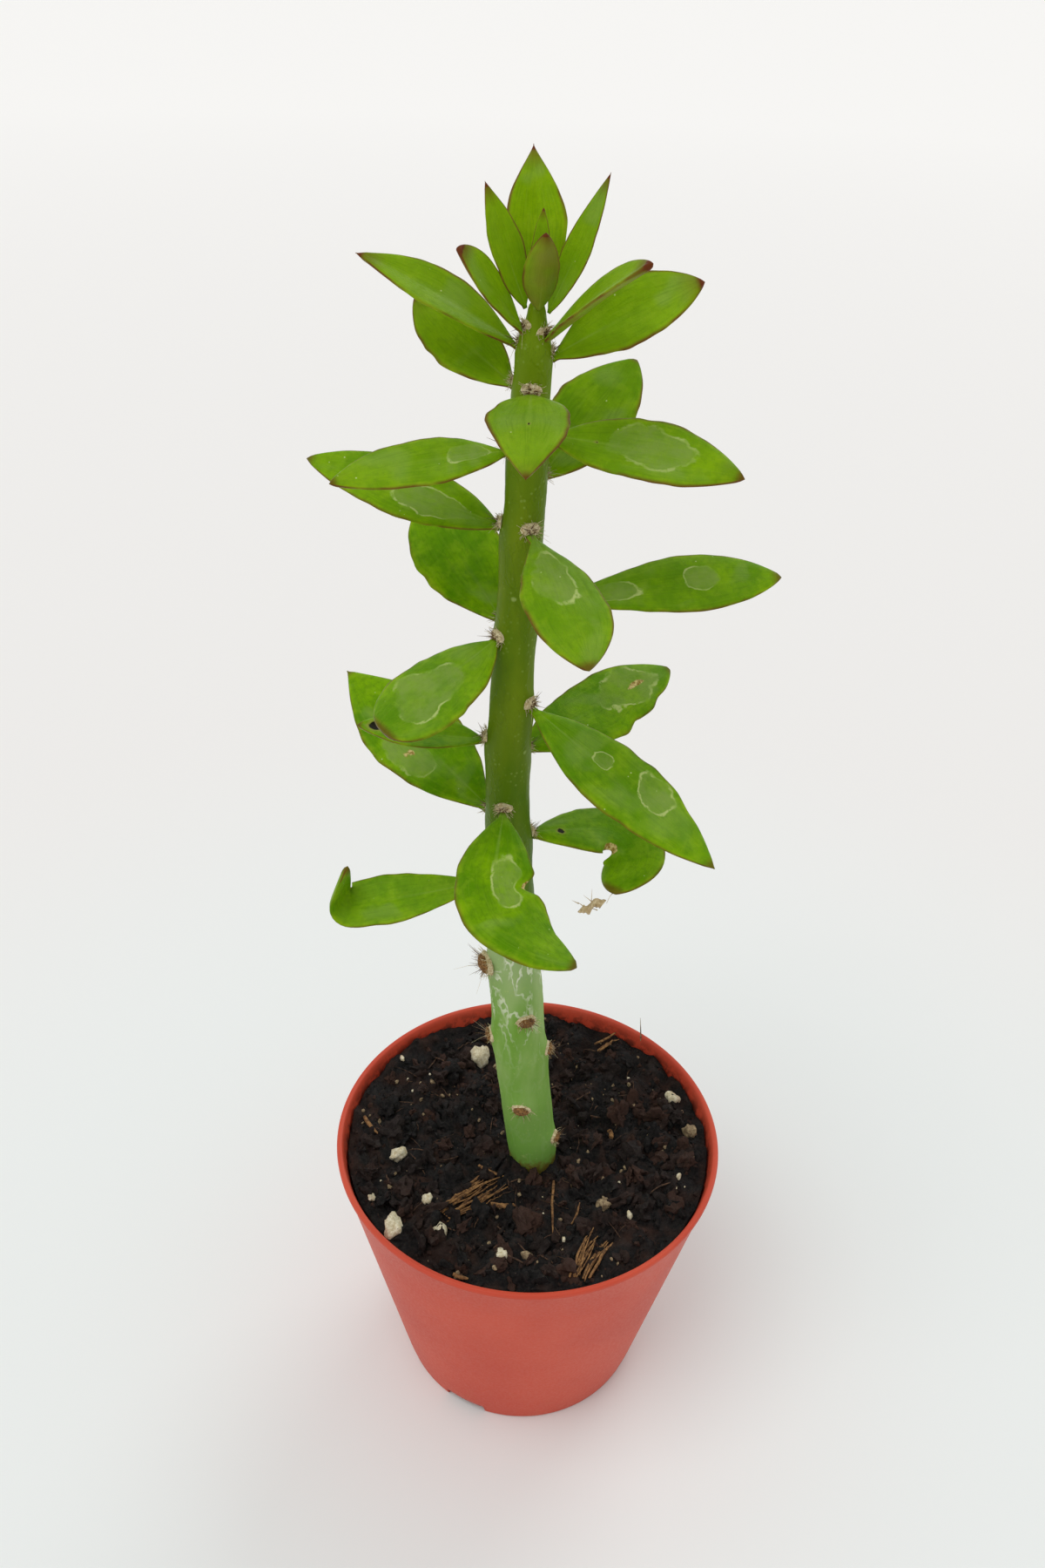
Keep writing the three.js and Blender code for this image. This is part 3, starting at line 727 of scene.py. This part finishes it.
class Leaf:
    """One leaf's blade, as points at (along 0..1, across -1..1, face +1 or -1), in millimetres."""

    def __init__(self, number, row):
        self.number = number
        self.height, self.azimuth, self.rise, self.length, self.width = row[:5]
        self.__dict__.update(LEAF_DEFAULTS)
        self.__dict__.update(row[5])
        self.young = min(1.0, max(0.0, (number - YOUNG_FROM) / YOUNG_SPAN))
        self.seed = 7.3 * number
        self.rate = self.sharp * self.wide / (1 - self.wide)
        self.peak = self.wide**self.rate * (1 - self.wide) ** self.sharp
        self.frames = []
        spot = stem_surface(self.height, self.azimuth, CLEARANCE)
        steps = LEAF_ROWS * 2
        for k in range(steps + 1):
            self.frames.append(self.frame(k / steps, spot.copy()))
            spot = spot + self.frames[-1][1] * (self.length / steps)

    def frame(self, s, spot):
        curl = self.hook * min(1, max(0, (s - self.hook_from) / self.hook_span))
        turned = min(1, max(0, (s - self.turn[0]) / (self.turn[1] - self.turn[0])))
        azimuth = self.azimuth + self.sweep * turned
        forward = heading(azimuth, self.rise + self.bend * s + curl)
        side = heading(azimuth + 90, 0)
        up = forward.cross(side)
        lean = math.radians(self.roll)
        across = side * math.cos(lean) + up * math.sin(lean)
        return spot, forward, across, forward.cross(across)

    def half_width(self, s):
        blade = s**self.rate * (1 - s) ** self.sharp / self.peak
        return self.width / 2 * max(blade, STALK_RATIO * (1 - s), 0.012)

    def point(self, s, v, face):
        spot, forward, across, out = self.frames[round(s * (len(self.frames) - 1))]
        half = self.half_width(s)
        full = min(BLADE_THICKEST, max(BLADE_THINNEST, BLADE_GAUGE * self.width))
        gauge = min(full, 1.7 * half) / 2
        body = math.sin(math.pi * min(1, max(0, s)) ** 0.8)
        fat = gauge * (1 - abs(v) ** 2.6) ** 0.6
        which = 3.1 if v > 0 else 9.7
        ripple = sum(depth * noise.noise((s * waves, self.seed, which)) for waves, depth in MARGIN_RIPPLES)
        margin = 1 + ripple * body
        if v * self.jag > 0:
            margin += abs(self.jag) * noise.noise((s * JAG_WAVES, self.seed, 1.7)) * body
        if self.notch and v * self.notch[3] > 0:
            margin -= self.notch[2] * math.exp(-(((s - self.notch[0]) / self.notch[1]) ** 2))
        reach = v * half * math.cos(math.radians(self.fold)) * margin
        lift = abs(v) ** 1.4 * half * math.sin(math.radians(self.fold)) + face * fat
        lift += BLADE_WAVE * noise.noise((s * 2.2, v * 0.9, self.seed)) * body * half
        groove = GROOVE_DEPTH * math.exp(-((v / GROOVE_HALF_WIDTH) ** 2))
        lift -= groove * (1 - s) * face * min(1, half) * body
        return spot + across * reach + out * lift

    def build(self):
        columns = LEAF_HALF_COLUMNS * 2
        spread = [math.sin(math.pi / 2 * (2 * k / columns - 1)) for k in range(columns + 1)]
        loop = [(v, 1) for v in reversed(spread)] + [(v, -1) for v in spread[1:-1]]
        points, faces = [], []
        data = {key: [] for key in LEAF_DATA}
        for r in range(LEAF_ROWS + 1):
            s = r / LEAF_ROWS
            s = min(1, 0.5 * s + 0.5 * (1 - (1 - s) ** 1.6))
            s = round(s * (len(self.frames) - 1)) / (len(self.frames) - 1)
            for v, face in loop:
                points.append(self.point(s, v, face))
                data["across"].append(abs(v))
                data["along"].append(s)
                data["under"].append(0.0 if face > 0 else 1.0)
                data["young"].append(self.young)
                data["dull"].append(self.dull)
                data["ring_reach"].append(self.reach(self.ring, s, v))
                data["scar_reach"].append(self.reach(self.scar, s, v))
                data["dot_reach"].append(self.nearest_dot(s, v))
        skin(len(loop), LEAF_ROWS + 1, faces)
        name = f"leaf_{self.number:02d}"
        add_mesh(f"blade_{self.number:02d}", points, faces, LEAF, "leaf", [name], attributes=data)

    def reach(self, marks, s, v):
        """Distance from the nearest mark (along, across, half length, half width), 1 at its edge."""
        near = [math.hypot((s - a) / half_s, (v - b) / half_v) for a, b, half_s, half_v in marks]
        return min([FAR_FROM_MARKS] + near)

    def nearest_dot(self, s, v):
        """Distance from the nearest dark pit (along, across, radius in millimetres), 1 at its edge."""
        half = self.half_width(s)
        near = [math.hypot((s - a) * self.length, (v - b) * half) / size for a, b, size in self.dots]
        return min([FAR_FROM_MARKS] + near)


leaves = [Leaf(k + 1, row) for k, row in enumerate(LEAVES)]
for leaf in leaves:
    leaf.build()


# ---------------------------------------------------------------- stem

STEM_SIDES = 56
STEM_RINGS = 300
areoles = [(h, a, size, True) for h, a, size in BARE_AREOLES]
for leaf in leaves:
    if leaf.height < AREOLES_END:
        size = YOUNG_AREOLE_SIZE if leaf.height > YOUNG_AREOLES_FROM else AREOLE_SIZE
        areoles.append((leaf.height, leaf.azimuth, size, False))


def stem_radius(height, azimuth):
    radius = stem_smooth(height, 3)
    swell = 0.0
    for h, a, size, bare in areoles:
        dz = (height - h + 0.4) / (SWELL_BELOW if height < h else SWELL_ABOVE)
        turn = math.radians((azimuth - a + 180) % 360 - 180) * radius / SWELL_ASIDE
        swell += (SWELL_BARE if bare else SWELL_LEAFY) * math.exp(-dz * dz - turn * turn)
    probe = heading(azimuth, 0) + Vector((0, 0, height * 0.16))
    radius += swell + 0.1 * noise.noise(probe * 1.4) + 0.03 * noise.noise(probe * 7)
    if height < OLD_WOOD_TOP:
        probe.z *= 5
        ledge = OLD_LEDGE * math.exp(-((OLD_WOOD_TOP - height) / OLD_LEDGE_REACH))
        radius += OLD_SKIN + 0.035 * noise.noise(probe * 6) + ledge
    if height > SHOULDER:
        radius *= math.sqrt(max(0.02, (STEM_TIP - height)))
    return radius


def build_stem():
    points, faces, heights = [], [], []
    for r in range(STEM_RINGS + 1):
        z = STEM_FOOT + (STEM_TIP - STEM_FOOT) * r / STEM_RINGS
        middle = Vector((stem_smooth(z, 1), stem_smooth(z, 2), z))
        for k in range(STEM_SIDES):
            azimuth = 360 * k / STEM_SIDES
            points.append(middle + heading(azimuth, 0) * stem_radius(z, azimuth))
            heights.append(z)
    skin(STEM_SIDES, STEM_RINGS + 1, faces)
    add_mesh("stem_body", points, faces, STEM, "stem", ["stem"], attributes={"height": heights})


build_stem()


# ---------------------------------------------------------------- areoles


def build_areoles():
    wool, hearts, spines = ([], []), ([], []), ([], [])
    rng = random.Random(SEEDS["areoles"])
    for h, a, size, bare in areoles:
        out = heading(a, 0)
        side = heading(a + 90, 0)
        up = Vector((0, 0, 1))
        root = stem_surface(h + (0 if bare else 0.75), a) + out * (0.3 if bare else 0.15)
        kind = "leafy" if not bare else "corky" if h < CORKY_BELOW else "bare"
        wool_hairs, heart_hairs, heart_size, spine_count = AREOLE_GROWTH[kind]
        tuft(*wool, root, out, side, up, size, rng, wool_hairs)
        tuft(*hearts, root + out * (0.34 * size), out, side, up, size * heart_size, rng, heart_hairs)
        for _ in range(spine_count):
            lean = rng.uniform(-1.2, 1.2)
            lift = rng.uniform(-0.5, 1.1)
            aim = (out * rng.uniform(0.5, 1.1) + side * lean + up * lift).normalized()
            reach = rng.uniform(1.2, 2.3) * min(1.5, size)
            start = root + out * 0.2 + side * rng.uniform(-0.4, 0.4) * size
            cone(*spines, start, start + aim * reach, 0.065, 5)
        for _ in range(2):
            aim = out * rng.uniform(0.4, 1) + side * rng.uniform(-1, 1) - up * rng.uniform(-0.3, 0.8)
            aim = aim.normalized()
            bow = (side * rng.uniform(-1, 1) - up) * rng.uniform(0.3, 1.2)
            cone(*wool, root + out * 0.2, root + aim * rng.uniform(1.4, 2.8) * size, 0.03, 3, bow, 8, 0.4)
    add_mesh("areole_wool", *wool, WOOL, "scrap")
    add_mesh("areole_hearts", *hearts, BROWN, "fibre")
    add_mesh("areole_spines", *spines, SPINE, "fibre")


def tuft(points, faces, root, out, side, up, size, rng, hairs):
    """A woolly cushion: a lumpy low dome, bristling with short curly hairs."""
    rows, sides, base = 6, 12, len(points)
    for r in range(rows):
        s = r / (rows - 1)
        ring = math.cos(s * math.pi * 0.46)
        for k in range(sides):
            turn = 2 * math.pi * k / sides
            wobble = 1 + 0.22 * noise.noise(Vector((math.cos(turn) * 2, math.sin(turn) * 2, root.z + s)))
            reach = size * ring * wobble
            flat = side * (reach * math.cos(turn) * 1.15) + up * (reach * math.sin(turn) * 0.8)
            points.append(root + flat + out * (size * 0.62 * math.sin(s * math.pi * 0.46) - 0.15))
    skin(sides, rows, faces, base)
    for _ in range(hairs):
        turn, far = rng.uniform(0, 2 * math.pi), rng.uniform(0.3, 1.05)
        spread = side * math.cos(turn) * 1.15 + up * math.sin(turn) * 0.85
        start = root + spread * (far * size) + out * (size * 0.3 * (1.1 - far))
        aim = (spread * rng.uniform(0.2, 1.0) + out * rng.uniform(0.3, 1.0)).normalized()
        bow = (side * rng.uniform(-1, 1) + up * rng.uniform(-1, 1)) * 0.35 * size
        cone(points, faces, start, start + aim * (size * rng.uniform(0.35, 0.85)), 0.035, 3, bow, 3, 0.5)


build_areoles()


# ---------------------------------------------------------------- pot


def pot_radius(height):
    return POT_BASE_RADIUS + (POT_TOP_RADIUS - POT_BASE_RADIUS) * height / POT_HEIGHT


def pot_profile():
    """(radius, height, inside) from the middle of the underside, up the outside and down the inside."""
    rim_foot = POT_HEIGHT - RIM_HEIGHT
    lip = POT_TOP_RADIUS + RIM_OVERHANG
    outline = [(r, 0, 0) for r in (0.01, 6, 12, 15.5, 17.2)]
    for k in range(5):
        turn = math.pi / 2 * k / 4
        out, up = math.sin(turn) - 1, 1 - math.cos(turn)
        outline.append((POT_BASE_RADIUS + BASE_ROUND * out, BASE_ROUND * up, 0))
    outline += [(pot_radius(h), h, 0) for h in (2.6, 6, 12, 20, 28, 35, rim_foot - 0.3)]
    for k in range(9):
        turn = math.pi * (k / 8) - math.pi / 2
        out, up = math.cos(turn) - 1, math.sin(turn) - 1
        outline.append((lip + LIP_ROUND * out, POT_HEIGHT + RIM_HEIGHT / 2 * up, 0))
    inner = POT_TOP_RADIUS - POT_WALL
    outline += [(inner + 0.18, POT_HEIGHT - 0.04, 1), (inner + 0.04, POT_HEIGHT - 0.2, 1)]
    outline += [(pot_radius(h) - POT_WALL, h, 1) for h in (41.2, 39, 36, 30, 20, 10, POT_FLOOR + 1)]
    outline += [(POT_BASE_RADIUS - POT_WALL - 0.6, POT_FLOOR, 1), (8, POT_FLOOR, 1), (0.01, POT_FLOOR, 1)]
    return outline


def build_pot():
    sides = 192
    outline = pot_profile()
    points, faces, heights, inside = [], [], [], []
    for radius, z, within in outline:
        for k in range(sides):
            turn = 360 * k / sides
            points.append(heading(turn, 0) * radius + Vector((0, 0, z)))
            heights.append(z)
            inside.append(float(within))
    skin(sides, len(outline), faces)
    data = {"height": heights, "inside": inside}
    pot = add_mesh("pot_shell", points, faces, POT, "pot", ["pot"], attributes=data)
    cut_notches(pot)


def cut_notches(pot):
    cutter_mesh = bpy.data.meshes.new("notch")
    shape = bmesh.new()
    for k in range(NOTCH_COUNT):
        made = bmesh.ops.create_cube(shape, size=1)["verts"]
        bmesh.ops.scale(shape, verts=made, vec=Vector(NOTCH_SIZE) * MM)
        bmesh.ops.translate(shape, verts=made, vec=(NOTCH_REACH * MM, 0, 0))
        turn = Matrix.Rotation(math.radians(NOTCH_FIRST_ANGLE + 360 * k / NOTCH_COUNT), 3, "Z")
        bmesh.ops.rotate(shape, verts=made, matrix=turn)
    edges = shape.edges[:]
    bmesh.ops.bevel(shape, geom=edges, offset=NOTCH_ROUND * MM, segments=3, affect="EDGES", profile=0.5)
    shape.to_mesh(cutter_mesh)
    shape.free()
    cutter = link(bpy.data.objects.new("notch", cutter_mesh))
    cut = pot.modifiers.new("notches", "BOOLEAN")
    cut.operation = "DIFFERENCE"
    cut.object = cutter
    cut.solver = "EXACT"
    depsgraph = bpy.context.evaluated_depsgraph_get()
    carved = bpy.data.meshes.new_from_object(pot.evaluated_get(depsgraph))
    pot.modifiers.clear()
    pot.data = carved
    bpy.data.objects.remove(cutter)


build_pot()


# ---------------------------------------------------------------- soil and what lies on it


def soil_surface(x, y):
    spot = Vector((x, y, 0))
    lumps = 0.75 * noise.noise(spot * 0.35) + 0.75 * abs(noise.noise(spot * 0.8))
    lumps += 0.45 * noise.noise(spot * 2.1)
    near_wall = max(0, math.hypot(x, y) - WALL_BAND[0]) / WALL_BAND[1]
    return soil_height(x, y) + lumps - 0.1 + 0.25 * near_wall * noise.noise(spot * 0.3 + Vector((5, 0, 0)))


def build_soil():
    rings = 90
    sides = 260
    points, faces, tint = [], [], []
    radius = pot_radius(SOIL_EDGE) - POT_WALL - 0.06
    for z in SOIL_SKIRT:
        for k in range(sides):
            points.append(heading(360 * k / sides, 0) * (radius - 0.6) + Vector((0, 0, z)))
            tint.append(0.0)
    for r in range(rings):
        far = radius * (1 - r / rings) + 0.02
        for k in range(sides):
            flat = heading(360 * k / sides, 0) * far
            z = soil_surface(flat.x, flat.y)
            points.append(Vector((flat.x, flat.y, z)))
            shade = noise.noise(flat * 0.5 + Vector((3, 8, 0)))
            tint.append(max(0.0, shade * 0.5))
    skin(sides, rings + 2, faces)
    add_mesh("soil_bed", points, faces, SOIL, "soil", ["soil"], attributes={"tint": tint})


def lump(points, faces, centre, radius, rng, squash, rough, detail):
    """Adds one lumpy grain and returns how many points it has."""
    shape = bmesh.new()
    bmesh.ops.create_icosphere(shape, subdivisions=detail, radius=1)
    turn = Quaternion((rng.random(), rng.random(), rng.random(), rng.random())).normalized()
    base = len(points)
    seed = Vector((rng.uniform(0, 50), rng.uniform(0, 50), rng.uniform(0, 50)))
    shape.verts.ensure_lookup_table()
    for vert in shape.verts:
        grow = 1 + rough * noise.noise(vert.co * 1.3 + seed) + 0.4 * rough * noise.noise(vert.co * 3.1 + seed)
        points.append(centre + turn @ (vert.co * Vector(squash) * (grow * radius)))
    for face in shape.faces:
        faces.append(tuple(base + vert.index for vert in face.verts))
    shape.free()
    return len(points) - base


def scatter(rng, reach):
    """A random place on the soil, clear of the stem."""
    while True:
        x, y = rng.uniform(-reach, reach), rng.uniform(-reach, reach)
        if math.hypot(x, y) < reach and math.dist((x, y), STEM_SPOT) > STEM_ROOM:
            return x, y


def build_crumbs():
    rng = random.Random(SEEDS["crumbs"])
    for name, count, low, high, detail in CRUMB_KINDS:
        points, faces, tint = [], [], []
        for _ in range(count):
            x, y = scatter(rng, 25.8 - high)
            size = rng.uniform(low, high)
            centre = Vector((x, y, soil_surface(x, y) + size * rng.uniform(-0.45, 0.2)))
            squash = (1, rng.uniform(0.5, 1), rng.uniform(0.4, 0.9))
            added = lump(points, faces, centre, size, rng, squash, 1.1, detail)
            tint += [rng.choice(CRUMB_TINTS)] * added
        add_mesh(name, points, faces, SOIL, "soil", attributes={"tint": tint}, smooth=False)


def build_perlite():
    rng = random.Random(SEEDS["grains"])
    for k, (x, y, radius) in enumerate(PERLITE):
        points, faces = [], []
        centre = Vector((x, y, soil_surface(x, y) + radius * 0.42))
        lump(points, faces, centre, radius, rng, (1, 0.85, 0.75), 0.5, 3)
        number = f"{k + 1:02d}"
        look = DULL if k + 1 in DULL_GRAINS else GRAIN
        add_mesh(f"grain_{number}", points, faces, look, "perlite", [f"perlite_{number}"])
    kinds = (("small_grains", GRAIN, 26, 0.1, 0.24), ("dull_grains", DULL, 150, 0.1, 0.42))
    for name, look, count, low, high in kinds:
        points, faces = [], []
        placed = [(x, y, size) for x, y, size, bright in SMALL_GRAINS if bright == (look is GRAIN)]
        placed += [(*scatter(rng, 25), rng.uniform(low, high)) for _ in range(count)]
        for x, y, size in placed:
            centre = Vector((x, y, soil_surface(x, y) + size * 0.3))
            lump(points, faces, centre, size, rng, (1, 0.8, 0.6), 0.5, 2)
        add_mesh(name, points, faces, look, "perlite")


def strand(points, faces, start, aim, length, radius, rng, sides=6, steps=16, perch=0.25):
    """A dry fibre lying on the soil, almost straight."""
    side = aim.cross(Vector((0, 0, 1))).normalized()
    bend = rng.uniform(-0.07, 0.07) * length
    seed = rng.uniform(0, 90)
    lift = soil_surface(start.x, start.y) + perch
    far = start + aim * length
    drop = soil_surface(far.x, far.y) + perch - lift
    base = len(points)
    for r in range(steps + 1):
        s = r / steps
        wander = 0.12 * noise.noise(Vector((s * 4, seed, 0)))
        spot = start + aim * (s * length) + side * (bend * math.sin(math.pi * s) + wander)
        rest = soil_surface(spot.x, spot.y) + perch - 0.25 + radius * 0.6
        spot.z = max(lift + drop * s, rest) + 0.1 * math.sin(math.pi * s)
        width = radius * (0.5 + 0.5 * math.sin(math.pi * min(1, s + 0.1)) ** 0.5)
        for k in range(sides):
            turn = 2 * math.pi * k / sides
            above = Vector((0, 0, width * math.sin(turn)))
            points.append(spot + side * (width * 1.3 * math.cos(turn)) + above)
    skin(sides, steps + 1, faces, base)


def build_fibres():
    rng = random.Random(SEEDS["fibres"])
    for k, (x, y, turn, length, count) in enumerate(FIBRES):
        aim = heading(turn, 0)
        side = heading(turn + 90, 0)
        points, faces = [], []
        for _ in range(count):
            spread = BUNDLE_SPREAD if count > 1 else 0
            back = aim * (length * rng.uniform(0.4, 0.55))
            start = Vector((x, y, 0)) - back + side * rng.uniform(-spread, spread)
            lean = (aim + side * rng.uniform(-0.16, 0.16)).normalized()
            reach = length * rng.uniform(0.5, 1.0)
            radius = rng.uniform(0.07, 0.17) if count > 1 else 0.15
            strand(points, faces, start, lean, reach, radius, rng, perch=0.25 + rng.uniform(0.1, 0.5))
        add_mesh(f"bark_{k + 1}", points, faces, BARK, "fibre", [f"fibre_{k + 1}"])
    points, faces = [], []
    for x, y, turn, length, radius in LOOSE_STRANDS:
        strand(points, faces, Vector((x, y, 0)), heading(turn, 0), length, radius, rng, perch=0.5)
    add_mesh("loose_strands", points, faces, BARK, "fibre")
    points, faces = [], []
    cone(points, faces, Vector(SLIVER_FOOT), Vector(SLIVER_TIP), 0.17, 5)
    add_mesh("rim_sliver", points, faces, DULL, "fibre")
    points, faces = [], []
    for _ in range(SMALL_FIBRES):
        x, y = scatter(rng, 22)
        start = Vector((x, y, 0))
        aim = heading(rng.uniform(0, 360), 0)
        strand(points, faces, start, aim, rng.uniform(1.0, 4.2), rng.uniform(0.03, 0.12), rng, 5, 8)
    add_mesh("small_fibres", points, faces, DARK_BARK, "fibre")


def build_scrap():
    """A shrivelled scrap of old leaf that hangs by a hair from the tip of the second leaf."""
    rng = random.Random(SEEDS["scrap"])
    points, faces = [], []
    centre = Vector(SCRAP_CENTRE)
    rows, sides = 14, 10
    for r in range(rows + 1):
        s = r / rows - 0.5
        spot = centre + Vector((s * 3.2, 0.25 * math.sin(9 * s), s * 1.9 + 0.18 * math.sin(16 * s)))
        half = 0.75 * math.cos(math.pi * s) ** 0.7 + 0.06 if abs(s) < 0.5 else 0.05
        for k in range(sides):
            turn = 2 * math.pi * k / sides + s * 3.5
            crumple = 1 + 0.75 * noise.noise(Vector((s * 9, k * 1.7, 2.2)))
            flat = Vector((0, math.cos(turn), math.sin(turn) * 0.4))
            points.append(spot + flat * (half * crumple))
    skin(sides, rows + 1, faces)
    for _ in range(9):
        start = centre + Vector((rng.uniform(-1.6, 1.0), 0, rng.uniform(-0.7, 0.5)))
        aim = Vector((rng.uniform(-1, 0.5), rng.uniform(-0.6, 0.6), rng.uniform(-0.3, 0.6))).normalized()
        cone(points, faces, start, start + aim * rng.uniform(0.8, 1.8), 0.07, 4)
    leaf_tip = leaves[1].point(0.99, 0, -1)
    cone(points, faces, leaf_tip, centre + Vector((1.2, 0, 0.7)), 0.035, 4, Vector((0.5, 0, -0.2)), 12, 0.8)
    add_mesh("hanging_scrap", points, faces, SCRAP, "scrap", ["dry_scrap"])


build_soil()
build_crumbs()
build_perlite()
build_fibres()
build_scrap()


# ---------------------------------------------------------------- floor, light and camera


def build_stage():
    mesh = bpy.data.meshes.new("table_top")
    corners = [(x * TABLE_REACH, y * TABLE_REACH, 0) for x, y in ((-1, -1), (1, -1), (1, 1), (-1, 1))]
    mesh.from_pydata(corners, [], [(0, 1, 2, 3)])
    mesh.materials.append(floor_material())
    link(bpy.data.objects.new("table_top", mesh))


def build_sun(name, spot, power, softness):
    """A broad soft lamp a long way off, shining from spot towards the plant."""
    data = bpy.data.lights.new(name, "SUN")
    data.angle = math.radians(softness)
    data.energy = power
    lamp = link(bpy.data.objects.new(name, data))
    lamp.location = spot
    lamp.rotation_euler = (-Vector(spot)).to_track_quat("-Z", "Y").to_euler()


def build_world():
    """An even white sky, palest at the horizon."""
    world = bpy.data.worlds.new("studio")
    world.use_nodes = True
    tree = world.node_tree
    background = tree.nodes["Background"]
    background.inputs["Color"].default_value = SKY
    coords = tree.nodes.new("ShaderNodeTexCoord")
    split = tree.nodes.new("ShaderNodeSeparateXYZ")
    fade = tree.nodes.new("ShaderNodeMapRange")
    fade.inputs["From Max"].default_value = FADE_TOP
    fade.inputs["To Min"].default_value = HORIZON_STRENGTH
    fade.inputs["To Max"].default_value = ZENITH_STRENGTH
    tree.links.new(coords.outputs["Generated"], split.inputs[0])
    tree.links.new(split.outputs["Z"], fade.inputs["Value"])
    tree.links.new(fade.outputs["Result"], background.inputs["Strength"])
    bpy.context.scene.world = world


def build_camera():
    data = bpy.data.cameras.new("camera")
    data.lens = CAMERA_LENS
    data.sensor_width = CAMERA_SENSOR
    data.clip_start = 0.005
    data.clip_end = 50
    camera = link(bpy.data.objects.new("camera", data))
    pitch, roll = math.radians(CAMERA_PITCH), math.radians(CAMERA_ROLL)
    forward = Vector((0, math.cos(pitch), -math.sin(pitch)))
    right = Vector((1, 0, 0))
    up = right.cross(forward)
    across = right * math.cos(roll) + up * math.sin(roll)
    upward = up * math.cos(roll) - right * math.sin(roll)
    turn = Matrix((across, upward, -forward)).transposed()
    camera.matrix_world = Matrix.Translation(CAMERA_SPOT) @ turn.to_4x4()
    bpy.context.scene.camera = camera


build_stage()
build_world()
build_sun("key", (-0.4, -0.35, 1.1), 0.85, 35)
build_sun("back", (0.5, 0.8, 0.9), 0.45, 30)
bpy.context.scene.view_settings.view_transform = "Standard"
build_camera()
